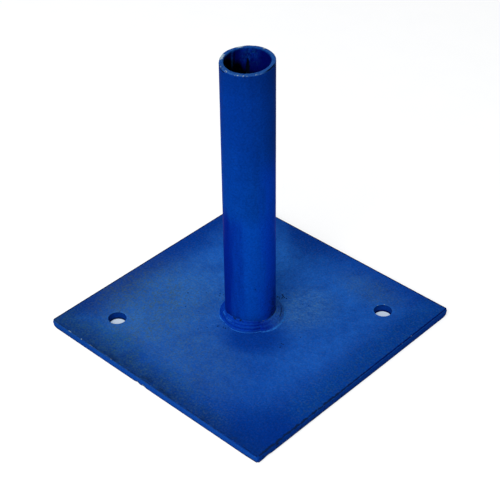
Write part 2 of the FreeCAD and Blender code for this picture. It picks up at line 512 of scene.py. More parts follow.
def enamel_group():
    """Group that gives brushed enamel its bloom, dust, speckle, sand and flecks."""
    name = "Brushed Enamel"
    if name in bpy.data.node_groups:
        return bpy.data.node_groups[name]
    group, given = new_group(
        name,
        {"Place": PLACE, "Paint": COLOUR, "Chalk": COLOUR, "Chalk Amount": VALUE,
         "Dust": COLOUR, "Dust Amount": VALUE, "Speckle": VALUE, "Flecks": VALUE},
        {"Color": COLOUR, "Roughness": VALUE, "Height": VALUE})
    place = given["Place"]
    grain = place.clouds(GRAIN)
    grit = place.moved(3.0).clouds(GRIT)
    mottle = place.clouds(MOTTLE)
    chalk = given["Chalk Amount"] * (place.clouds(DRIFT) * 1.2 + mottle * 0.8)
    dust = given["Dust Amount"] * grit.fade(0.30, 0.70, 0.4, 1.6) * mottle.fade(0.25, 0.75, 0.6, 1.4)
    tint = blend(chalk, given["Paint"], given["Chalk"])
    tint = blend(dust, tint, given["Dust"])
    tint = dimmed(tint, (grain - 0.5) * given["Speckle"] + 1.0)
    tint = blend(grit.fade(0.50, 0.66) * given["Flecks"] * 0.095, tint, SAND)
    dulled = (chalk + dust).fade(0.0, 0.5, 0.42, 0.66)
    add_node(group, "NodeGroupOutput", {
        "Color": flecked(place, given["Flecks"], tint),
        "Roughness": dulled + (grain - 0.5) * 0.12,
        "Height": mottle * 0.6 + grain * 0.4,
    })
    return group


def wear_group():
    """Group that rubs edges pale, shows bare chips and fills cracks with dark, and lays the painted
    highlights and painted shade that the same masks carry.
    """
    name = "Edge Wear"
    if name in bpy.data.node_groups:
        return bpy.data.node_groups[name]
    group, given = new_group(
        name,
        {"Place": PLACE, "Color": COLOUR, "Rub": VALUE, "Rubbed": COLOUR,
         "Chip": VALUE, "Bare": COLOUR, "Crack": VALUE, "Dark": COLOUR},
        {"Color": COLOUR, "Bare Mask": VALUE, "Height": VALUE})
    ragged = given["Place"].clouds(RAGGED_EDGES) - 0.5
    fine = given["Place"].moved(7.0).clouds(FINE_CHIPS) - 0.5
    rub = given["Rub"] * ragged.fade(-0.2, 0.16, 0.35, 1.0)
    crack = (given["Crack"] + ragged * 0.6).fade(0.30, 0.65)
    chip = (given["Chip"] + fine * 1.5).fade(0.42, 0.70)
    speck = ragged.fade(-0.04, 0.12) * given["Chip"].fade(0.8, 1.0, 1.0, 0.0)
    tint = blend(rub, given["Color"], given["Rubbed"])
    tint = blend(crack, tint, given["Dark"])
    tint = blend(chip, tint, blend(speck, given["Bare"], given["Dark"]))
    add_node(group, "NodeGroupOutput", {"Color": tint, "Bare Mask": chip, "Height": chip * -0.5 - crack})
    return group


class Patch(NamedTuple):
    """A soft oval on the plate, in millimetres and degrees, and how strong it is in its middle."""
    middle: tuple
    half_lengths: tuple
    turn: float = 0.0
    strength: float = 1.0


class PaintMaterial:
    """A painted metal's material: enamel, then wear, then the shader."""

    def __init__(self, name):
        self.material = bpy.data.materials.new(name)
        self.tree = emptied_tree(self.material)
        self.place = add_field(self.tree, "ShaderNodeTexCoord", "Object")
        self.x, self.y, self.z = add_fields(self.tree, "ShaderNodeSeparateXYZ", {0: self.place}).values()

    def spot(self, patch):
        """A patch as a field: its strength in its middle, 0 outside it."""
        oval = add_field(self.tree, "ShaderNodeMapping", "Vector", {
            "Vector": self.place,
            "Location": (patch.middle[0] * MM, patch.middle[1] * MM, 0.0),
            "Rotation": (0.0, 0.0, math.radians(patch.turn)),
            "Scale": (patch.half_lengths[0] * MM, patch.half_lengths[1] * MM, 0.0),
        }, vector_type="TEXTURE")
        reach = add_field(self.tree, "ShaderNodeVectorMath", "Value", {0: oval}, operation="LENGTH")
        return reach.fade(0.25, 1.0, patch.strength, 0.0)

    def finish(self, relief, enamel, wear):
        """Joins the groups to the shader, given the relief's depth and what else the groups are fed."""
        tree = self.tree
        enamel["Place"] = self.place
        coat = add_fields(tree, "ShaderNodeGroup", enamel, node_tree=enamel_group())
        wear["Place"] = self.place
        wear["Color"] = coat["Color"]
        for socket, mask in zip(("Rub", "Chip", "Crack"), MASKS):
            wear[socket] = add_field(tree, "ShaderNodeAttribute", "Fac", attribute_name=mask)
        worn = add_fields(tree, "ShaderNodeGroup", wear, node_tree=wear_group())
        height = coat["Height"] + worn["Height"]
        bump = add_field(tree, "ShaderNodeBump", "Normal", {
            "Height": height, "Strength": RELIEF_STRENGTH, "Distance": relief})
        roughness = coat["Roughness"] + worn["Bare Mask"] * BARE_ROUGHNESS
        shader = add_field(tree, "ShaderNodeBsdfPrincipled", 0, {
            "Base Color": worn["Color"], "Roughness": roughness, "Normal": bump,
            "Specular IOR Level": FAINT_SHINE, "Metallic": 0.0})
        add_node(tree, "ShaderNodeOutputMaterial", {"Surface": shader})
        return self.material


PLATE_PATCHES = {
    "left_dust": Patch((-60, -46), (68, 88)),
    "trodden_dust": Patch((6, -60), (62, 44), -24, 0.75),
    "back_dust": Patch((46, 78), (42, 20), 0, 0.5),
    # Pale dust round the weld, partly painted light where the tube's shadow falls
    "weld_dust_and_light": Patch((24, 30), (32, 38), 0, 0.55),
    "front_patch": Patch((20, -18), (38, 29), 38),
    "front_shade": Patch((30, -50), (56, 50), 0, 0.42),
    # Painted shade: less pale chalk towards the front corner
    "front_corner": Patch((100, -100), (97, 97), 0, 0.80),
    # Painted shade: deeper blue near the front corner
    "front_tip_shade": Patch((88, -82), (40, 38)),
    "left_corner": Patch((-100, -100), (62, 62), 0, 0.7),
    # Painted light: a pale patch along the back
    "back_light": Patch((30, 92), (58, 24), 0, 0.36),
    "back_streak": Patch((-54, 91), (78, 11), 135, 0.58),
}


class PlateEnamel(PaintMaterial):
    """Blue enamel on the plate: pale in the middle, with painted light towards the back, dusty on the left,
    and darkened with painted shade towards the front corner and along the front left edge.
    """

    def __init__(self, look):
        super().__init__("plate_enamel")
        self.look = look
        self.spots = {name: self.spot(patch) for name, patch in PLATE_PATCHES.items()}
        self.wander = self.place.clouds(WANDERING) - 0.5
        self.on_top = self.z.fade(PLATE_TOP - 0.9 * MM, PLATE_TOP - 0.4 * MM)
        self.from_front_left = self.y + PLATE_HALF
        self.edge_distance = self.from_front_left + self.wander * (14 * MM)
        self.edge_shadow = self.edge_shadowed()
        self.left_dust = largest(self.spots["left_dust"], self.spots["trodden_dust"])
        self.left_dust *= self.spots["left_corner"].fade(0.0, 0.7, 1.0, 0.45)
        self.swept = self.most("front_patch", "front_shade", "front_tip_shade")

    def most(self, *names):
        """The strongest of some patches and the painted shadow along the front left edge."""
        return largest(*(self.spots[name] for name in names), self.edge_shadow)

    def edge_shadowed(self):
        """Painted shadow that lies broken along the front left edge."""
        line = self.from_front_left + self.wander * (9 * MM)
        band = line.ramp(0.4, 1.6) * line.ramp(2, 6, 1.0, 0.0)
        along = self.x.ramp(-78, -60) * self.x.ramp(40, 90, 1.0, 0.5)
        broken = self.place.clouds(EDGE_SHADOW_BLOTCHES).fade(0.34, 0.60)
        return band * along * broken * self.on_top * 0.6

    def bloom_and_light(self):
        """How much pale chalk lies on the upper face and on the front left side: partly the enamel's bloom,
        partly painted light that grows towards the back and pales the front left side, less where painted
        shade darkens the front.
        """
        inland = PLATE_HALF - largest(abs(self.x), abs(self.y))
        bloom_and_light = (inland + self.wander * (18 * MM)).ramp(3, 36, 0.02, 1.0)
        # Painted shade: less pale chalk at the front patches and along the front left edge
        front_fade = 1.0 - self.most("front_patch", "front_shade", "front_corner")
        # Painted light: more pale chalk towards the back
        rearward_light = (self.y - self.x).ramp(-120, 90, 0.9, 1.25)
        bloom_and_light = bloom_and_light * front_fade * rearward_light * (self.left_dust * 0.5 + 1.0)
        bloom_and_light = (bloom_and_light + self.spots["back_light"] + self.spots["back_streak"]) * self.on_top
        # Painted light: the front left side is paled, most towards its top
        side = self.y.fade(0.5 * MM - PLATE_HALF, 0.3 * MM - PLATE_HALF) * (1.0 - self.on_top)
        return bloom_and_light + side * self.z.ramp(0.3, 3.0, 0.18, 0.46)

    def dust(self):
        """How much dust lies on the upper face, and its colour."""
        look = self.look
        front_left = self.edge_distance.ramp(4, 30, 0.95, 0.0) * self.edge_distance.ramp(2, 12, 0.65, 1.0)
        front_left *= self.x.ramp(96, 55) * self.x.ramp(60, -40, 0.36, 0.72) * self.on_top
        front_right = self.x.ramp(70, 92, 0.0, 0.3) * self.y.ramp(-80, -45)
        weld_dust_and_light = self.spots["weld_dust_and_light"]
        dust = largest(self.left_dust, front_left, front_right, self.spots["back_dust"], weld_dust_and_light)
        tint = blend(front_left.fade(0.0, 0.3), look.dust, look.edge_dust)
        tint = blend(front_right.fade(0.0, 0.2), tint, look.side_dust)
        return dust * self.on_top * (1.0 - self.swept) * look.dust_amount, blend(weld_dust_and_light, tint, WELD_DUST_AND_LIGHT)

    def paint(self):
        """Colour of the enamel itself, with painted shade near the front corner, along the front left edge
        and in broken blotches along that edge, and darker at the left corner.
        """
        # Painted shade along the front left edge
        front_left_shade = self.edge_distance.ramp(3, 18, 0.95, 0.0) * self.on_top
        paint = blend(self.spots["front_tip_shade"] * self.on_top, self.look.paint, FRONT_TIP_SHADE_BLUE)
        paint = blend(largest(front_left_shade, self.spots["left_corner"]), paint, self.look.edge_shade_paint)
        return blend(self.edge_shadow, paint, EDGE_SHADOW_NAVY)

    def make(self):
        """The whole material."""
        dust_amount, dust_tint = self.dust()
        enamel = {
            "Paint": self.paint(),
            "Chalk": self.look.chalk, "Chalk Amount": self.bloom_and_light() * self.look.chalk_amount,
            "Dust": dust_tint, "Dust Amount": dust_amount,
            "Speckle": 0.95, "Flecks": self.on_top * self.swept.fade(0.0, 0.9, 1.0, 0.45)}
        dark = blend(self.y.ramp(-30, 30), CRACK_AND_SHADE_NAVY, REAR_CRACK_AND_SHADE_BLUE)
        return self.finish(0.25 * MM, enamel, {"Rubbed": RUBBED_BLUE, "Bare": BARE_STEEL, "Dark": dark})


# Bearing of the camera's right, across which the tube's painted light and shade are laid, and how much
# longer than wide its streaks are
VIEW_ACROSS_BEARING = math.radians(43.6)
STREAK_SQUEEZE = (1.0, 1.0, 0.12)


def bore_coat(made, look, across, streaks):
    """Colour inside the tube: thin paint, a painted pool of light high in the middle as seen, and painted
    shade deeper down and on the left side.
    """
    bore_shadow_line = made.z + across * 0.95 + streaks * (12 * MM)
    bore_shadow = bore_shadow_line.fade(SPIGOT_TOP - 12 * MM, SPIGOT_TOP - 18 * MM)
    bore_shadow = largest(bore_shadow, across.ramp(-8.2, -9.6, 0.0, 0.5))
    lit = abs(across - 1.5 * MM).ramp(2, 9, 1.0, 0.0)
    lit *= made.z.fade(SPIGOT_TOP - 15 * MM, SPIGOT_TOP - 5 * MM)
    lit *= made.place.clouds(BORE_PATCHES).fade(0.35, 0.62, 0.0, 0.85)
    return blend(bore_shadow, blend(lit, look.bore_paint, look.bore_lit), look.bore_shade)


def tube_coat(made, look, uneven, lower):
    """Colour outside the tube, with painted light and shade laid across the view: painted shade on the left
    and a painted light band from the middle rightwards lower down, painted light up the right side, and
    painted shade just under the rim.
    """
    lower_light_and_shade = blend(uneven.fade(-0.9 * SPIGOT_RADIUS, 0.0), look.lower_left_shade, look.lower_band_light)
    coat = blend(lower, look.paint, lower_light_and_shade)
    # Painted light down the right side as seen, up to about 155 mm
    right_side_lit = uneven.fade(0.2 * SPIGOT_RADIUS, 0.85 * SPIGOT_RADIUS) * made.z.ramp(155, 125, 0.0, 0.75)
    coat = blend(right_side_lit, coat, look.right_side_light)
    return blend(made.z.ramp(188, 207, 0.0, 0.35), coat, look.under_rim_shade)


def spigot_material(look):
    """Blue enamel on the tube, streaked along its length, with painted light and shade laid across the
    view, and a thin dark coat in its bore.
    """
    made = PaintMaterial("spigot_enamel")
    squeezed = {"Vector": made.place, "Scale": STREAK_SQUEEZE}
    streaks = add_field(made.tree, "ShaderNodeMapping", "Vector", squeezed).clouds(MOTTLE) - 0.5
    across = made.x * math.cos(VIEW_ACROSS_BEARING) + made.y * math.sin(VIEW_ACROSS_BEARING)
    bore = SPIGOT_RADIUS - look.wall
    from_axis = calculate(made.tree, "SQRT", made.x * made.x + made.y * made.y)
    outside = from_axis.fade(bore + 0.2 * MM, bore + 0.7 * MM)
    lower = (made.z + streaks * (18 * MM)).ramp(92, 108, 1.0, 0.0)
    outer_coat = tube_coat(made, look, across + streaks * (14 * MM), lower)
    thick = made.z.ramp(60, 190, 0.85, 0.2) + streaks * 0.4
    # Painted shade on the right of the tube's foot as seen, laid on in the dust colour
    right_foot_shade = across.fade(0.35 * SPIGOT_RADIUS, 0.95 * SPIGOT_RADIUS) * made.z.ramp(10, 62, 0.6, 0.0)
    enamel = {
        "Paint": blend(outside, bore_coat(made, look, across, streaks), outer_coat),
        "Chalk": look.chalk, "Chalk Amount": thick * outside * (1.0 - lower) * look.chalk_amount,
        "Dust": look.dust, "Dust Amount": largest(made.z.ramp(12, 21, 0.25, 0.0), right_foot_shade),
        "Speckle": 0.95, "Flecks": 0.1}
    rubbed = blend(outside, BORE_RUB_AND_HIGHLIGHT, RIM_RUB_AND_LIGHT)
    return made.finish(0.2 * MM, enamel, {"Rubbed": rubbed, "Bare": BRIGHT_STEEL, "Dark": TUBE_DARK_AND_SHADE})


FLAT_RUN_PATCH = Patch((19, 20), (30, 30))
RUN_END_SHADE_PATCH = Patch((19, -9), (10, 10))


def weld_material(look):
    """Blue enamel over the bead, dusty on its flat run, with painted shade where the tall run ends."""
    made = PaintMaterial("weld_enamel")
    flat_side = made.spot(FLAT_RUN_PATCH)
    enamel = {
        "Paint": blend(made.spot(RUN_END_SHADE_PATCH), look.paint, look.run_end_shade), "Chalk": look.chalk,
        "Chalk Amount": flat_side.fade(0.0, 1.0, 0.05 * look.chalk_amount, 1.5 * look.chalk_amount),
        "Dust": look.dust, "Dust Amount": flat_side * 0.2, "Speckle": 1.0, "Flecks": flat_side * 0.8}
    return made.finish(0.2 * MM, enamel, {"Rubbed": look.chalk, "Bare": WELD_FLECK, "Dark": CRACK_AND_SHADE_NAVY})


def spatter_material(look):
    """Burnt drops of weld metal, half covered by paint."""
    enamel = {"Paint": look.scale, "Chalk": look.chalk, "Chalk Amount": 0.05,
              "Dust": SPATTER_DUST, "Dust Amount": 0.45, "Speckle": 0.8, "Flecks": 0.0}
    wear = {"Rubbed": RUBBED_BLUE, "Bare": BARE_STEEL, "Dark": CRACK_AND_SHADE_NAVY}
    return PaintMaterial("spatter_scale").finish(0.1 * MM, enamel, wear)


# Outward directions of the plate's sides, which marks number from 0: +X, +Y, -X and -Y
SIDE_OUTWARD = (Vector((1, 0)), Vector((0, 1)), Vector((-1, 0)), Vector((0, -1)))

# Distance from a mark that stands for any place on another side
OFF_THE_SIDE = 1.0


class SideMark(NamedTuple):
    """A chip, nick or pit on one side of the plate: its place and reach along the side in millimetres."""
    side: int
    along: float
    reach: float
    amount: float
    level: float = 0.0

    def at(self, place, offset=0.0):
        """1 on the mark, 0 from its reach on; the offset is how far the place lies above or below it."""
        outward = SIDE_OUTWARD[self.side]
        distance = OFF_THE_SIDE
        if place.dot(outward) >= PLATE_HALF - 2 * MM:
            distance = place.dot(Vector((abs(outward.y), abs(outward.x)))) - self.along * MM
        return bump_at(math.hypot(distance, offset), self.reach * MM)


# Chips on the upper edge, with their strength and how far inland they lie
ARRIS_CHIPS = (
    SideMark(3, -80.8, 2.4, 0.9, 0.1), SideMark(3, -68.0, 2.16, 0.9, 0.1),
    SideMark(3, -58.3, 2.64, 0.9, 0.1), SideMark(3, -37.8, 2.16, 0.9, 0.1),
    SideMark(3, 92.5, 2.16, 0.45, 0.0), SideMark(3, 97.6, 2.16, 0.55, -0.6),
    SideMark(0, 47.8, 1.44, 0.8, 0.9), SideMark(0, 58.4, 1.44, 0.8, 0.9),
    SideMark(1, 35.0, 2.16, 0.9, 0.1), SideMark(1, -52.0, 1.92, 0.9, 0.1),
    SideMark(2, 20.0, 2.4, 0.9, 0.1), SideMark(2, -61.0, 2.16, 0.9, 0.1))

# Nicks in the lower edge, with their depth in millimetres
LOW_NICKS = (SideMark(3, -12.0, 2.8, 0.55), SideMark(3, -6.0, 3.08, 0.4), SideMark(0, -90.0, 4.76, 0.3),
             SideMark(1, 12.0, 3.36, 0.4), SideMark(2, 66.0, 4.2, 0.5))

# Pits in the sides, with their darkness and height
SIDE_PITS = (SideMark(0, -17.2, 1.35, 1.2, 2.3), SideMark(0, -13.6, 1.05, 1.2, 1.4),
             SideMark(1, -70.0, 1.2, 1.2, 2.6), SideMark(2, 41.0, 1.2, 1.2, 2.0))
PIT_DEPTH = 0.35 * MM


class EdgeLine(NamedTuple):
    """A line of wear along an edge: its offset and reach in millimetres, its strength, how it breaks up."""
    offset: float
    reach: float
    strength: float
    broken_gain: float = 0.0
    broken_from: float = 0.0
    broken_to: float = 1.0

    def at(self, distance, broken=0.0):
        """How strong the line is at a distance from its edge."""
        gain = self.broken_gain * smooth_step(self.broken_from, self.broken_to, broken)
        return bump_at(distance - self.offset * MM, self.reach * MM) * (self.strength + gain)


# Dark lines along the front right, front left and rear edges and round a hole, and a pale one; the dark
# line just inside the front left arris and the one round a hole are painted shade
RIGHT_LOW_LINE = EdgeLine(0.2, 1.6, 0.64, 0.2, 0.2, 0.8)
LEFT_LOW_LINE = EdgeLine(0.2, 1.7, 0.55, 0.15, 0.1, 0.7)
LEFT_TIP_LINE = EdgeLine(0.2, 2.2, 0.25)
LEFT_ARRIS_SHADE_LINE = EdgeLine(0.9, 0.9, 0.42, 0.2, 0.1, 0.7)
REAR_LINE = EdgeLine(0.6, 1.5, 0.85)
HOLE_MOUTH_SHADE = EdgeLine(0.9, 0.7, 0.62)
ARRIS_RUB_LINE = EdgeLine(0.8, 0.6, 0.16)

# Depth of the torn lip, how far corners are knocked in, and how far lower edges are rounded up
TORN_DEPTH = 0.15 * MM
WIDE_KNOCK = 1.2 * MM
NARROW_KNOCK = 0.6 * MM
CORNER_LIFT = 1.6 * MM
FRONT_RIGHT_LIFT = 0.5 * MM


def square_outline(half, corner_radius, spacing):
    """Points and outward directions round a square with rounded corners, anticlockwise from its +X side."""
    straight = half - corner_radius
    steps = round(2 * straight / spacing)
    corner_steps = 8
    outline = []
    for side, outward in enumerate(SIDE_OUTWARD):
        along = Vector((-outward.y, outward.x))
        for step in range(steps):
            outline.append((outward * half + along * straight * (2 * step / steps - 1), outward))
        for step in range(corner_steps):
            direction = heading((side + step / corner_steps) * FULL_TURN / 4).to_2d()
            outline.append(((outward + along) * straight + direction * corner_radius, direction))
    return outline


def sheared_profile(look):
    """Rows of the sheared edge from top to bottom: how far in, how high, and how much it wanders."""
    inland = 0.9 * look.corner_radius
    roll_width = 1.2 * look.rollover
    fracture_depth = 0.16 * MM
    arc_steps = 6
    rows = [(inland, PLATE_TOP, 0.0), ((inland + roll_width) / 2, PLATE_TOP, 0.2)]
    for step, (cosine, sine) in enumerate(quarter_arc(arc_steps)):
        drop = look.rollover * (1 - cosine)
        rows.append((roll_width * (1 - sine), PLATE_TOP - drop, 0.4 + 0.6 * step / arc_steps))
    for height in spread(PLATE_TOP - look.rollover, look.burr, 8):
        rows.append((fracture_depth * smooth_step(0.62 * PLATE_TOP, 0.38 * PLATE_TOP, height), height, 1.0))
    for cosine, sine in quarter_arc(arc_steps)[1:]:
        rows.append((fracture_depth + look.burr * (1 - cosine), look.burr * (1 - sine), 1.0))
    rows.append((inland, 0.0, 0.0))
    return rows


def sagging(look, spot, height):
    """A point of the plate at a height, let down as rolling and the weld's pull left the upper face."""
    sag = look.warp * hollows(spot.to_3d(), 45 * MM, 2)
    return Vector((spot.x, spot.y, height - sag * (height / PLATE_TOP)))


def facing(lean):
    """How much a point belongs to a side, from how far its outward direction leans that way."""
    return smooth_step(0.3, 0.9, lean)


class EdgePoint:
    """One point of the sheared edge: where it lies unworn, and what wear does to it there."""

    def __init__(self, place, outward, row):
        self.place = place
        self.outward = outward
        self.inset, self.height, self.wander = row
        self.inland = self.inset - (PLATE_TOP - self.height)
        self.ground = place.to_3d()
        self.solid = self.ground + UP * self.height
        self.quick = hollows(self.solid, 2.2 * MM)
        self.broken = 0.5 + 0.9 * lumps(self.ground, 7 * MM, 2)
        self.front_right = facing(outward.x)
        self.front_left = facing(-outward.y)
        self.rear = facing(max(outward.y, -outward.x))
        self.heavy = ramp(10, -30, place.y)
        low = ramp(2.8, 0.6, self.height)
        self.nicks = [(nick.amount, nick.at(place) * low) for nick in LOW_NICKS]
        self.pits = [(pit.amount, pit.at(place, self.height - pit.level * MM)) for pit in SIDE_PITS]
        self.torn = self.torn_lip()

    def torn_lip(self):
        """Torn lip of the front right upper edge, heavier and more ragged towards the front corner."""
        wave = self.heavy * 0.75 * MM * lumps(self.ground, 5 * MM, 2)
        ragged = smooth_step(0.1, 0.8, 0.5 + 0.9 * lumps(self.ground, 2.6 * MM, 2))
        lip = bump_at(self.inland - (0.8 - 0.2 * self.heavy) * MM - wave, (1.6 + 0.4 * self.heavy) * MM)
        at_tip = 0.6 + 0.4 * ramp(-99, -95, self.place.y)
        return lip * (0.70 + self.heavy * (0.40 * ragged - 0.12)) * self.front_right * at_tip

    def chip(self):
        """How bare the point is chipped."""
        chips = [chip.amount * chip.at(self.place) * bump_at(self.inland - chip.level * MM, 0.95 * MM)
                 for chip in ARRIS_CHIPS]
        nicked = max(nick for depth, nick in self.nicks)
        return max(*chips, 0.9 * nicked * smooth_step(0.1, 0.6, self.quick))

    def crack(self):
        """How dark the point is from pits, cracks, torn paint and dirt, and from painted shade just inside
        the front left arris.
        """
        blot = 0.55 * self.heavy * smooth_step(0.05, 0.5, lumps(self.solid, 3 * MM, 2))
        blot *= ramp(-0.2, -0.8, self.inland)
        right = max(blot, RIGHT_LOW_LINE.at(self.height, self.broken)) * self.front_right
        low_left = LEFT_LOW_LINE.at(self.height, self.broken)
        low_left += LEFT_TIP_LINE.at(self.height) * ramp(70, 94, self.place.x)
        left = max(low_left, LEFT_ARRIS_SHADE_LINE.at(self.inland, self.broken)) * self.front_left
        pitted = max(darkness * pit for darkness, pit in self.pits)
        return max(pitted, self.torn, right, left, REAR_LINE.at(self.inland) * self.rear)

    def push(self, look):
        """How far waves, nicks, pits, the torn lip and a knocked corner push the point in."""
        waves = look.waviness * (0.55 * hollows(self.ground, 26 * MM) + 0.45 * self.quick)
        nicked = sum(depth * MM * nick for depth, nick in self.nicks)
        pitted = PIT_DEPTH * sum(pit for darkness, pit in self.pits)
        corner = smooth_step(0.1, 0.95, 2 * abs(self.outward.x * self.outward.y))
        corner *= ramp(1.4, 0.4, self.inset)
        knock = WIDE_KNOCK if self.outward.x * self.outward.y > 0 else NARROW_KNOCK
        knock *= abs(2 * self.height / PLATE_TOP - 1) ** 3
        return self.wander * (waves + nicked + TORN_DEPTH * self.torn) + pitted + knock * corner

    def lift(self):
        """How far the lower edge is rounded up at the left and right corners and along the front right."""
        place = self.place
        lift = FRONT_RIGHT_LIFT * ramp(40, -60, place.y) * ramp(88, 99, place.x)
        if place.x * place.y > 0:
            to_corner = math.hypot(PLATE_HALF - abs(place.x), PLATE_HALF - abs(place.y))
            lift += CORNER_LIFT * ramp(4.8, 0.5, to_corner)
        return lift * (1 - self.height / PLATE_TOP) ** 1.5 * ramp(1.4, 0.5, self.inset)

    def add_to(self, sheet, look):
        """Adds the worn point to a sheet, and gives its number."""
        spot = self.place - self.outward * (self.inset + self.push(look))
        rub = ARRIS_RUB_LINE.at(PLATE_TOP - self.height) * (0.4 + 0.6 * self.front_left)
        point = sagging(look, spot, self.height) + UP * self.lift()
        return sheet.add(point, rub, self.chip(), self.crack())


def add_sheared_edge(sheet, look):
    """Rings of points down the plate's irregular sheared edge; gives the first and the last ring."""
    outline = square_outline(PLATE_HALF, look.corner_radius, look.edge_spacing)
    rings = [[EdgePoint(place, outward, row).add_to(sheet, look) for place, outward in outline]
             for row in sheared_profile(look)]
    sheet.skin(rings[::-1])
    return rings[0], rings[-1]


# Chips round the mouths of the two holes
HOLE_CHIPS = ((RoundMark(125.0, 9.0),), (RoundMark(165.0, 9.0), RoundMark(121.0, 9.0)))
HOLE_STEPS = 88
HOLE_WALL_FOOT = 0.8 * MM


def mouth_margin(look):
    """How far from a hole's wall the flat face starts."""
    return 2.4 * look.mouth_break


def hole_profile(look):
    """Rows down a hole from its mouth to the paint's lip: how far outside its wall, and how high."""
    mouth = look.mouth_break
    rows = [(mouth_margin(look), PLATE_TOP)]
    rows += [(mouth * (1 - sine), PLATE_TOP - mouth * (1 - cosine)) for cosine, sine in quarter_arc(4)]
    rows += [(0.0, height) for height in spread(PLATE_TOP - mouth, HOLE_WALL_FOOT, 9)]
    return rows + [(-0.8 * look.hole_lip, 0.45 * MM), (-look.hole_lip, 0.2 * MM), (-look.hole_lip, 0.0)]


def add_hole_point(sheet, look, centre, chips, turn, outside, height):
    """One point of a punched hole, roughened inside, with a chipped mouth, and painted shade in a ring
    under the mouth and at the wall's foot.
    """
    direction = heading(turn).to_2d()
    radius = HOLE_RADIUS + outside
    breaks = outside / look.mouth_break
    rough = 0.06 * MM * lumps((centre + direction * radius).to_3d() + UP * height, 2.5 * MM)
    spot = centre + direction * (radius + abs(rough) * smooth_step(2.2, 1.2, breaks))
    rim = bump_at(height - (PLATE_TOP - 0.1 * MM), 0.4 * MM) * smooth_step(1.4, 0.6, breaks)
    # Painted shade: a ring under the mouth and the wall's foot
    dark = max(HOLE_MOUTH_SHADE.at(PLATE_TOP - height), 0.85 * ramp(1.7, 0.4, height))
    return sheet.add(sagging(look, spot, height), 0.35 * rim, rim * strongest(chips, turn), dark)


def add_hole(sheet, look, centre, chips):
    """Rings of points down one punched hole; gives its upper and its lower ring."""
    rings = [[add_hole_point(sheet, look, centre, chips, turn, *row) for turn in full_turns(HOLE_STEPS)]
             for row in hole_profile(look)]
    sheet.skin(rings)
    return rings[0], rings[-1]


def add_face_points(sheet, look, spacing, level):
    """Points spread over the plate's upper or lower face, clear of its edges and holes."""
    reach = PLATE_HALF - look.corner_radius - 0.6 * spacing
    clear = HOLE_RADIUS + mouth_margin(look) + 0.6 * spacing
    steps = int(2 * reach / spacing)
    numbers = []
    for row in range(steps + 1):
        for column in range(steps + 1):
            spot = Vector((column, row)) * (2 * reach / steps) - Vector((reach, reach))
            if min((spot - centre).length for centre in HOLE_CENTRES) > clear:
                numbers.append(sheet.add(sagging(look, spot, level)))
    return numbers


class SCAFFOLD_OT_base_plate(Operator):
    """Build the square sheared plate with its two punched anchor holes"""
    bl_idname = "scaffold.base_plate"
    bl_label = "Base Plate"

    def execute(self, context):
        look = context.scene.scaffold_plate
        sheet = MeshSheet()
        upper, lower = add_sheared_edge(sheet, look)
        holes = [add_hole(sheet, look, centre, chips) for centre, chips in zip(HOLE_CENTRES, HOLE_CHIPS)]
        upper_points = add_face_points(sheet, look, look.face_spacing, PLATE_TOP)
        lower_points = add_face_points(sheet, look, 4 * look.face_spacing, 0.0)
        sheet.fill([upper, *(hole[0] for hole in holes)], upper_points, True)
        sheet.fill([lower, *(hole[1] for hole in holes)], lower_points, False)
        sheet.make("painted_base_plate", PlateEnamel(look).make(), "plate_paint", "base_plate")
        return {"FINISHED"}


# Chips and cracks along the rim's outer edge, dents under it, and bare spots on top
RIM_CHIPS = (RoundMark(-96.0, 9.0, 1.5), RoundMark(-112.0, 24.0, 0.9), RoundMark(-62.0, 40.0, 1.0),
             RoundMark(-30.0, 30.0, 0.9), RoundMark(60.0, 16.0, 0.8), RoundMark(178.0, 18.0, 0.8))
RIM_CRACKS = (RoundMark(10.0, 50.0, 0.72), RoundMark(-120.0, 40.0, 0.5))
RIM_DENTS = (RoundMark(-112.0, 34.0, 1.0), RoundMark(-50.0, 60.0, 0.55), RoundMark(24.0, 9.0, 1.2),
             RoundMark(110.0, 12.0, 0.8))
RIM_BARE = (RoundMark(150.0, 13.0, 1.2), RoundMark(-155.0, 21.0, 1.2), RoundMark(94.0, 5.0, 1.0))

# Where slag hangs and where the paint has split in the bore
SLAG_BEARING = math.radians(126.0)
SPLIT_BEARING = math.radians(132.5)

# How the tube is divided: points round it, fine rows at its foot and rim, and where it starts
SPIGOT_STEPS = 300
FOOT_FINE_TOP = 26 * MM
RIM_FINE_DEPTH = 3 * MM
BORE_FINE_DEPTH = 24 * MM
SPIGOT_FOOT = PLATE_TOP - 0.3 * MM


def spigot_profile(look):
    """Radius and height of the tube's rows: up outside from the foot, over the rim and down the bore."""
    bore = SPIGOT_RADIUS - look.wall
    edge = look.rim_break
    outer = SPIGOT_RADIUS - edge
    inner = bore + edge
    rows = []
    height = SPIGOT_FOOT
    while height < SPIGOT_TOP - RIM_FINE_DEPTH:
        rows.append((SPIGOT_RADIUS, height))
        height += 1.1 * MM if height < FOOT_FINE_TOP else 2.4 * MM
    rim_foot = SPIGOT_TOP - RIM_FINE_DEPTH
    rows += [(SPIGOT_RADIUS, height) for height in [rim_foot, *spread(rim_foot, SPIGOT_TOP - edge, 8)[:-1]]]
    arc = quarter_arc(5)
    rows += [(SPIGOT_RADIUS - edge * (1 - cosine), SPIGOT_TOP - edge * (1 - sine)) for cosine, sine in arc]
    rows += [(radius, SPIGOT_TOP) for radius in spread(outer, inner, 4)[:-1]]
    rows += [(inner - edge * sine, SPIGOT_TOP - edge * (1 - cosine)) for cosine, sine in arc]
    height = SPIGOT_TOP - edge
    while height > PLATE_TOP:
        height -= 0.8 * MM if height > SPIGOT_TOP - BORE_FINE_DEPTH else 5.0 * MM
        rows.append((bore, max(height, SPIGOT_FOOT)))
    return rows


def from_rim(radius, height):
    """Distance from the sharp corner that the rim's outer edge had."""
    return math.hypot(SPIGOT_RADIUS - radius, SPIGOT_TOP - height)


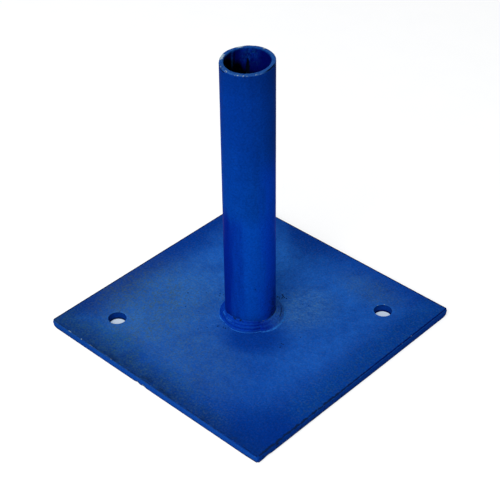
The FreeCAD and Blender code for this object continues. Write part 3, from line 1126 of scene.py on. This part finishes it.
def worn_outside(look, turn, place, radius, height):
    """The tube's outside with its ground foot and knocked rim: radius, height, chip and crack."""
    foot = smooth_step(look.foot_top, look.foot_top - 1.2 * MM, height)
    radius -= look.foot_depth * foot + 0.05 * MM * hollows(place, 9 * MM)
    knocks = smooth_step(0.15, 0.8, 0.5 + 0.7 * lumps(heading(turn) + 4 * UP, 0.45))
    edge = bump_at(from_rim(radius, height) - 0.4 * MM, 0.95 * MM)
    radius -= look.rim_wear * knocks * edge
    height -= 0.5 * look.rim_wear * knocks * edge
    flaked = smooth_step(-0.1, 0.45, lumps(place, 1.5 * MM))
    chip = 0.62 * edge * strongest(RIM_CHIPS, turn) * (0.65 + 0.35 * flaked)
    under = bump_at(height - (SPIGOT_TOP - 1.6 * MM), 0.8 * MM)
    dented = under * max(strongest(RIM_DENTS, turn), 0.3 * knocks) * (0.55 + 0.6 * flaked)
    arris = bump_at(from_rim(radius, height) - 0.2 * MM, 1.5 * MM)
    return radius, height, chip, max(dented, arris * strongest(RIM_CRACKS, turn))


def worn_bore(look, turn, place, radius, depth):
    """The bore with its seam's flash, slag and split paint, and a painted highlight and painted shadow on
    the seam's two flanks: radius, rub and crack.
    """
    bore = SPIGOT_RADIUS - look.wall
    clear = ramp(0.4, 2.0, depth)
    from_seam = bearing_gap(turn, look.seam_bearing) * bore
    flash = bump_at(from_seam, 0.62 * look.seam_width) * ramp(0.0, 1.5, depth)
    radius -= look.seam_height * flash
    slag = clear * smooth_step(0.52, 0.1, abs(bearing_gap(turn, SLAG_BEARING)))
    slag *= ramp(16, 4, depth)
    radius -= slag * 0.9 * MM * max(0.0, 0.35 + lumps(place, 3.4 * MM))
    gape = (0.7 + 1.5 * ramp(5, 16, depth)) * MM
    split = bump_at(bearing_gap(turn, SPLIT_BEARING) * bore, gape) * ramp(6, 10, depth)
    radius += 0.4 * MM * split * ramp(30, 18, depth)
    shallow = ramp(15, 6, depth) * clear
    pale_slag = 0.6 * slag * smooth_step(0.0, 0.4, lumps(place, 1.1 * MM))
    seam_highlight = 0.3 * shallow * bump_at(from_seam - 0.9 * MM, 0.8 * MM)
    dark_split = 1.1 * split * ramp(34, 24, depth)
    seam_shadow = shallow * bump_at(from_seam + 1.0 * MM, 0.9 * MM)
    return radius, max(pale_slag, seam_highlight), max(dark_split, seam_shadow)


def add_spigot_point(sheet, look, radius, height, turn):
    """One point of the tube's wall, worn outside or in the bore, with the rim sawn out of square."""
    bore = SPIGOT_RADIUS - look.wall
    middle = (bore + SPIGOT_RADIUS) / 2
    place = heading(turn) * radius + UP * height
    rim = smooth_step(SPIGOT_TOP - 1.1 * MM, SPIGOT_TOP - 0.2 * MM, height)
    rub = 0.0
    chip = 0.0
    if radius > middle:
        radius, height, chip, crack = worn_outside(look, turn, place, radius, height)
    else:
        radius, rub, crack = worn_bore(look, turn, place, radius, SPIGOT_TOP - height)
    bare = rim * smooth_step(middle - 1.2 * MM, middle - 0.2 * MM, radius) * strongest(RIM_BARE, turn)
    from_edges = min(abs(SPIGOT_RADIUS - 0.2 * MM - radius), abs(bore + 0.2 * MM - radius))
    at_edges = bump_at(from_edges, 0.9 * MM)
    # The rim's top is painted paler, palest at its rounded edges and duller in its middle: partly wear,
    # partly painted light on the face that looks up, with painted highlights on its edges
    rub = max(rub, rim * (0.5 + 0.15 * at_edges))
    crack = max(crack, 0.16 * rim * (1 - at_edges))
    saw_marks = 0.14 * MM * hollows(place, 5 * MM) * rim
    slant = look.rim_slant * (0.5 + 0.5 * math.cos(bearing_gap(turn, look.slant_bearing)))
    slant *= smooth_step(SPIGOT_TOP - 24 * MM, SPIGOT_TOP - 3 * MM, height)
    point = heading(turn) * radius + UP * (height - saw_marks - slant)
    return sheet.add(point, rub, max(chip, bare), crack)


class SCAFFOLD_OT_spigot_tube(Operator):
    """Build the seam-welded tube with its sawn and battered rim"""
    bl_idname = "scaffold.spigot_tube"
    bl_label = "Spigot Tube"

    def execute(self, context):
        look = context.scene.scaffold_spigot
        sheet = MeshSheet()
        rings = [[add_spigot_point(sheet, look, *row, turn) for turn in full_turns(SPIGOT_STEPS)]
                 for row in spigot_profile(look)]
        sheet.skin(rings + rings[:1])
        sheet.make("painted_spigot_tube", spigot_material(look), "spigot_paint", "spigot_tube")
        return {"FINISHED"}


# Wear round the bead: bare flecks at its upper toe, a painted highlight along its upper toe, a groove, and
# cracks
WELD_FLECKS = (RoundMark(-20.0, 28.0, 0.9), RoundMark(-165.0, 25.0, 0.9))
WELD_LIP_HIGHLIGHT = RoundMark(-115.0, 40.0, 0.9)
WELD_GROOVE = RoundMark(-120.0, 26.0, 0.65)
WELD_RING_CRACK = RoundMark(42.0, 50.0, 0.75)
WELD_FLAT_CRACK = RoundMark(20.0, 60.0, 0.7)
WELD_TALL_CRACK = RoundMark(-70.0, 50.0, 0.75)

# How the bead is divided and where it sits: points round it, rows over it, and its sunken inner corner
WELD_STEPS = 480
WELD_ROWS = 64
WELD_LEVEL = PLATE_TOP - 0.15 * MM
WELD_CORNER_RADIUS = SPIGOT_RADIUS - 1.2 * MM
WELD_CORNER_LEVEL = PLATE_TOP - 0.25 * MM
BEAD_SWELL = 2.0 * MM
END_ROUNDING = 0.06


class WeldRun(NamedTuple):
    """One run of the bead: its bearings, its legs when full, its ridges, how it ends and wears, and the
    painted highlight and shade on its ridges.
    """
    look: PropertyGroup
    start: float
    end: float
    tube_leg: float
    plate_leg: float
    ridges: int
    ridge_height: float
    nose: float
    lean: float
    ripple: float
    toe: float
    toe_rub: float
    crest_highlight: float
    gap_shade: float

    def reach(self, turn, slope):
        """How far the run stands out of the joint's corner, and how near that is to a ridge's crest.

        The slope goes from 0 on the plate to a quarter turn on the tube.
        """
        look = self.look
        span = self.end - self.start
        travel = (turn - self.start) % FULL_TURN
        if travel > span:
            return 0.0, 0.0
        fullness = math.sin(math.pi * (travel / span) ** self.lean) ** 0.5
        up = look.end_tube_leg + (self.tube_leg - look.end_tube_leg) * fullness
        out = look.end_plate_leg + (self.plate_leg - look.end_plate_leg) * fullness
        straight = 1 / (max(math.cos(slope), 0.0) / out + max(math.sin(slope), 0.0) / up)
        down = 1 - straight * max(math.sin(slope), 0.0) / up
        swell = BEAD_SWELL * down * (1 - down)
        crest = abs(math.sin(math.pi * self.ridges * down)) ** 0.7
        left_over = min(travel, span - travel) - self.nose * (1 - down) ** 2
        ended = smooth_step(0.0, END_ROUNDING, left_over)
        return (straight + swell + self.ridge_height * crest) * ended, crest


def weld_runs(look):
    """The tall run and the flat run that laps under its ends."""
    tall = WeldRun(look, look.tall_start, look.tall_end, look.tall_tube_leg, look.tall_plate_leg,
                   look.tall_ridges, look.ridge_height, nose=look.nose, lean=1.0, ripple=0.0,
                   toe=math.radians(16), toe_rub=1.0, crest_highlight=0.14, gap_shade=0.40)
    flat_end = look.tall_start + FULL_TURN + look.overlap
    flat = WeldRun(look, look.tall_end - look.overlap, flat_end, look.flat_tube_leg, look.flat_plate_leg,
                   look.flat_rings, look.flat_ridge_height, nose=0.0, lean=0.7, ripple=0.07 * MM,
                   toe=math.radians(19), toe_rub=0.9, crest_highlight=0.10, gap_shade=0.32)
    return tall, flat


def at_slope(slope, degrees, reach):
    """Rounded bump about a slope of the bead, both that and its reach in degrees."""
    return bump_at(slope - math.radians(degrees), math.radians(reach))


def from_slope(slope, low, high):
    """Rises smoothly between two slopes of the bead in degrees."""
    return smooth_step(math.radians(low), math.radians(high), slope)


def weld_cracks(run, turn, slope, crest, broken):
    """How dark the bead is: painted shade between its ridges, and dark along its upper toe and in its
    cracks.
    """
    ridge_gap_shade = run.gap_shade * (1 - crest) ** 2 * from_slope(slope, 10, 24)
    toe_crack = max(WELD_FLAT_CRACK.at(turn), broken * WELD_TALL_CRACK.at(turn)) * from_slope(slope, 81, 87)
    ring_crack = WELD_RING_CRACK.at(turn) * at_slope(slope, 42, 9)
    return max(ridge_gap_shade, toe_crack, ring_crack, WELD_GROOVE.at(turn) * at_slope(slope, 62, 7))


def add_weld_point(sheet, runs, foot_radius, turn, slope):
    """One point on the bead: the higher of the two runs, rippled, and lipped at its toe."""
    tall, flat = ((*run.reach(turn, slope), run) for run in runs)
    reach, crest, run = tall if tall[0] > flat[0] else flat
    direction = heading(turn)
    around = (direction + UP * slope) * SPIGOT_RADIUS
    toe = smooth_step(run.toe, math.radians(5), slope)
    chevron = math.sin(turn * SPIGOT_RADIUS / (0.42 * MM) + 2.5 * math.sin(2 * slope))
    reach += run.look.roughness_depth * lumps(around, 2.6 * MM)
    reach += run.ripple * chevron * math.sin(max(2 * slope, 0.0))
    reach += 0.35 * MM * toe * (1 + 0.5 * lumps(direction, 0.3))
    broken = smooth_step(-0.2, 0.4, lumps(around, 2 * MM))
    lip_highlight = WELD_LIP_HIGHLIGHT.at(turn) * at_slope(slope, 75, 9) * broken
    fleck = 0.8 * smooth_step(0.1, 0.6, lumps(around, 1.5 * MM))
    fleck *= from_slope(slope, 72, 84) * strongest(WELD_FLECKS, turn)
    point = direction * (foot_radius + reach * math.cos(slope))
    point += UP * (WELD_LEVEL + reach * math.sin(slope))
    rub = max(run.toe_rub * toe, run.crest_highlight * crest ** 3, lip_highlight)
    return sheet.add(point, rub, fleck, weld_cracks(run, turn, slope, crest, broken))


class SCAFFOLD_OT_fillet_weld(Operator):
    """Build the weld bead: a tall ridged run on one side and a flat run round the rest"""
    bl_idname = "scaffold.fillet_weld"
    bl_label = "Fillet Weld"

    def execute(self, context):
        look = context.scene.scaffold_weld
        foot_radius = SPIGOT_RADIUS - context.scene.scaffold_spigot.foot_depth
        runs = weld_runs(look)
        sheet = MeshSheet()
        turns = full_turns(WELD_STEPS)
        slopes = [FULL_TURN / 4 * row / WELD_ROWS for row in range(WELD_ROWS + 1)]
        rings = [[add_weld_point(sheet, runs, foot_radius, turn, slope) for turn in turns]
                 for slope in slopes]
        corner = [heading(turn) * WELD_CORNER_RADIUS + UP * WELD_CORNER_LEVEL for turn in turns]
        rings.append([sheet.add(point) for point in corner])
        sheet.skin(rings + rings[:1])
        sheet.make("painted_fillet_weld", weld_material(look), "weld_paint", "fillet_weld")
        return {"FINISHED"}


DROP_STEPS = 10
DROP_ROWS = 5


def add_drop(sheet, middle, upward, radius, flatness):
    """One drop of spatter sitting on a face that looks upward."""
    side = upward.orthogonal().normalized()
    turned = Matrix((side, upward.cross(side), upward)).transposed()
    rings = []
    for cosine, sine in quarter_arc(DROP_ROWS)[:-1]:
        ring = [heading(turn) * cosine + UP * (sine * flatness) for turn in full_turns(DROP_STEPS)]
        rings.append([sheet.add(middle + turned @ (point * radius)) for point in ring])
    sheet.skin(rings)
    top = sheet.add(middle + upward * radius * flatness)
    last = rings[-1]
    sheet.faces += [(last[step - 1], last[step], top) for step in range(DROP_STEPS)]
    sheet.faces.append(tuple(reversed(rings[0])))


class Cluster(NamedTuple):
    """Where drops of weld metal lie thickest, in degrees and millimetres."""
    bearing: float
    spread: float
    near: float
    far: float
    largest_drop: float
    drops: int


SPATTER_CLUSTERS = (Cluster(80.0, 7.0, 26.8, 31.5, 0.8, 12), Cluster(-110.0, 14.0, 22.8, 27.0, 0.45, 9),
                    Cluster(165.0, 14.0, 27.0, 33.0, 0.6, 6))
SPATTER_SEED = 11


def scattered_drops(draw, stray_count):
    """Bearings in degrees, and reaches and sizes in millimetres, of the drops on the plate."""
    drops = [(draw.uniform(-180.0, 180.0), draw.uniform(28.0, 52.0), draw.uniform(0.3, 0.55))
             for number in range(stray_count)]
    for cluster in SPATTER_CLUSTERS:
        drops += [(draw.gauss(cluster.bearing, cluster.spread), draw.uniform(cluster.near, cluster.far),
                   cluster.largest_drop * draw.uniform(0.5, 1.0)) for number in range(cluster.drops)]
    return drops


class SCAFFOLD_OT_weld_spatter(Operator):
    """Scatter drops of weld metal on the plate round the bead and on the tube's foot"""
    bl_idname = "scaffold.weld_spatter"
    bl_label = "Weld Spatter"

    def execute(self, context):
        look = context.scene.scaffold_weld
        sheet = MeshSheet()
        draw = random.Random(SPATTER_SEED)
        for bearing, reach, size in scattered_drops(draw, look.spatter_count):
            spot = heading(math.radians(bearing)).to_2d() * (reach * MM)
            radius = size * MM
            middle = sagging(context.scene.scaffold_plate, spot, PLATE_TOP) - UP * (0.1 * radius)
            add_drop(sheet, middle, UP, radius, draw.uniform(0.55, 0.9))
        for number in range(look.spatter_count // 2):
            outward = heading(math.radians(draw.uniform(-150.0, 60.0)))
            radius = draw.uniform(0.25, 0.5) * MM
            middle = outward * (SPIGOT_RADIUS - 0.15 * MM) + UP * (draw.uniform(19.0, 45.0) * MM)
            add_drop(sheet, middle, outward, radius, draw.uniform(0.5, 0.8))
        sheet.make("weld_spatter", spatter_material(look), "weld_paint")
        return {"FINISHED"}


# Linear colours of the floor and the room, and how strongly the floor glows where it is seen
FLOOR_PALE = (0.90, 0.90, 0.90)
# Painted shade with blue bounce on the floor under the plate
UNDER_PLATE_SHADE_BLUE = (0.24, 0.35, 0.50)
FLOOR_BOUNCE = (0.62, 0.62, 0.62)
FLOOR_SHADED = (0.42, 0.42, 0.42)
ROOM_TINT = (0.95, 0.97, 1.0)
WHITE = (1.0, 1.0, 1.0)
FLOOR_GLOW = 0.72

# Half the floor's side, and its level just under the plate, in metres
FLOOR_REACH = 6.0
FLOOR_LEVEL = -0.2 * MM


def backdrop_rays(tree):
    """1 for the rays by which the camera, gloss and glass see the backdrop."""
    path = add_fields(tree, "ShaderNodeLightPath")
    return largest(path["Is Camera Ray"], path["Is Glossy Ray"], path["Is Transmission Ray"])


def floor_material(stage):
    """Pale floor that reads as white and still takes the object's shadow; under the plate its glow is
    painted a darker blue, as painted shade with blue bounce.
    """
    material = bpy.data.materials.new("studio_floor")
    tree = emptied_tree(material)
    place = add_field(tree, "ShaderNodeTexCoord", "Object")
    split = add_fields(tree, "ShaderNodeSeparateXYZ", {0: place})
    middle_out = largest(abs(split["X"]), abs(split["Y"]))
    under_plate_shade = middle_out.fade(PLATE_HALF - 12 * MM, PLATE_HALF - 4 * MM, 1.0, 0.0)
    tint = blend(place.clouds(FLOOR_GRAIN), stage.floor_tint, FLOOR_PALE)
    tint = blend(under_plate_shade, tint, UNDER_PLATE_SHADE_BLUE)
    bounce = add_field(tree, "ShaderNodeBsdfDiffuse", 0, {"Color": FLOOR_BOUNCE})
    shaded = add_field(tree, "ShaderNodeBsdfDiffuse", 0, {"Color": FLOOR_SHADED})
    glow = add_field(tree, "ShaderNodeEmission", 0, {"Color": tint, "Strength": FLOOR_GLOW})
    seen = add_field(tree, "ShaderNodeAddShader", 0, {0: shaded, 1: glow})
    mixed = add_field(tree, "ShaderNodeMixShader", 0, {0: backdrop_rays(tree), 1: bounce, 2: seen})
    add_node(tree, "ShaderNodeOutputMaterial", {"Surface": mixed})
    return material


def add_floor(stage):
    """Square floor just under the plate."""
    mesh = bpy.data.meshes.new("studio_floor")
    sides = ((-1, -1), (1, -1), (1, 1), (-1, 1))
    corners = [(x * FLOOR_REACH, y * FLOOR_REACH, FLOOR_LEVEL) for x, y in sides]
    mesh.from_pydata(corners, [], [(0, 1, 2, 3)])
    mesh.materials.append(floor_material(stage))
    floor = bpy.data.objects.new("studio_floor", mesh)
    bpy.context.scene.collection.objects.link(floor)


def light_room(stage):
    """Even light from all round, which the camera sees as white."""
    world = bpy.data.worlds.new("studio_room")
    tree = emptied_tree(world)
    room = add_field(tree, "ShaderNodeBackground", 0, {"Color": ROOM_TINT, "Strength": stage.room_light})
    white = add_field(tree, "ShaderNodeBackground", 0, {"Color": WHITE, "Strength": 1.0})
    mixed = add_field(tree, "ShaderNodeMixShader", 0, {0: backdrop_rays(tree), 1: room, 2: white})
    add_node(tree, "ShaderNodeOutputWorld", {"Surface": mixed})
    bpy.context.scene.world = world


def raised(turn, tilt):
    """Direction on a bearing, tilted up."""
    return heading(turn) * math.cos(tilt) + UP * math.sin(tilt)


def add_soft_box(name, power, size, bearing, elevation, distance):
    """Square lamp that looks at the plate from a bearing and an elevation in degrees."""
    lamp = bpy.data.lights.new(name, "AREA")
    lamp.energy = power
    lamp.size = size
    stand = bpy.data.objects.new(name, lamp)
    away = raised(math.radians(bearing), math.radians(elevation))
    stand.location = away * distance
    stand.rotation_euler = away.to_track_quat("Z", "Y").to_euler()
    bpy.context.scene.collection.objects.link(stand)


def add_camera(stage):
    """Camera at the photograph's viewing angle."""
    back = raised(stage.azimuth - FULL_TURN / 4, stage.elevation)
    right = Matrix.Rotation(stage.roll, 3, back) @ heading(stage.azimuth)
    up = back.cross(right)
    lens = bpy.data.cameras.new("studio_camera")
    lens.lens = stage.lens
    camera = bpy.data.objects.new("studio_camera", lens)
    eye = UP * PLATE_TOP + back * stage.distance + right * stage.drift + up * stage.rise
    camera.matrix_world = Matrix.Translation(eye) @ Matrix((right, up, back)).transposed().to_4x4()
    bpy.context.scene.collection.objects.link(camera)
    bpy.context.scene.camera = camera


class SCAFFOLD_OT_stage(Operator):
    """Set up the floor, the lamps and the camera"""
    bl_idname = "scaffold.stage"
    bl_label = "Stage"

    def execute(self, context):
        stage = context.scene.scaffold_stage
        add_floor(stage)
        light_room(stage)
        add_soft_box("front_soft_box", stage.key_power, 0.9, -68.0, 42.0, 1.6)
        add_soft_box("left_soft_box", stage.left_power, 1.0, -135.0, 20.0, 1.4)
        add_soft_box("top_soft_box", stage.top_power, 1.0, -90.0, 80.0, 1.6)
        add_camera(stage)
        context.scene.view_settings.view_transform = "Standard"
        return {"FINISHED"}


class SCAFFOLD_PT_sidebar(Panel):
    """Lists the pieces and their settings"""
    bl_label = "Scaffold Base Plate"
    bl_idname = "SCAFFOLD_PT_sidebar"
    bl_space_type = "VIEW_3D"
    bl_region_type = "UI"
    bl_category = "Scaffold"

    def draw(self, context):
        for operator in OPERATORS:
            self.layout.operator(operator.bl_idname)
        for settings in SETTINGS:
            group = getattr(context.scene, settings)
            box = self.layout.box()
            for name in group.bl_rna.properties.keys():
                if name not in ("rna_type", "name"):
                    box.prop(group, name)


SETTINGS = {
    "scaffold_plate": PlateSettings,
    "scaffold_spigot": SpigotSettings,
    "scaffold_weld": WeldSettings,
    "scaffold_stage": StageSettings,
}
OPERATORS = (SCAFFOLD_OT_base_plate, SCAFFOLD_OT_spigot_tube, SCAFFOLD_OT_fillet_weld,
             SCAFFOLD_OT_weld_spatter, SCAFFOLD_OT_stage)
CLASSES = (*SETTINGS.values(), *OPERATORS, SCAFFOLD_PT_sidebar)


def register():
    for kind in CLASSES:
        bpy.utils.register_class(kind)
    for name, kind in SETTINGS.items():
        setattr(bpy.types.Scene, name, PointerProperty(type=kind))


def unregister():
    for name in SETTINGS:
        delattr(bpy.types.Scene, name)
    for kind in reversed(CLASSES):
        bpy.utils.unregister_class(kind)


def main():
    """Builds every piece in order."""
    register()
    bpy.ops.scaffold.base_plate()
    bpy.ops.scaffold.spigot_tube()
    bpy.ops.scaffold.fillet_weld()
    bpy.ops.scaffold.weld_spatter()
    bpy.ops.scaffold.stage()


if __name__ == "__main__":
    main()
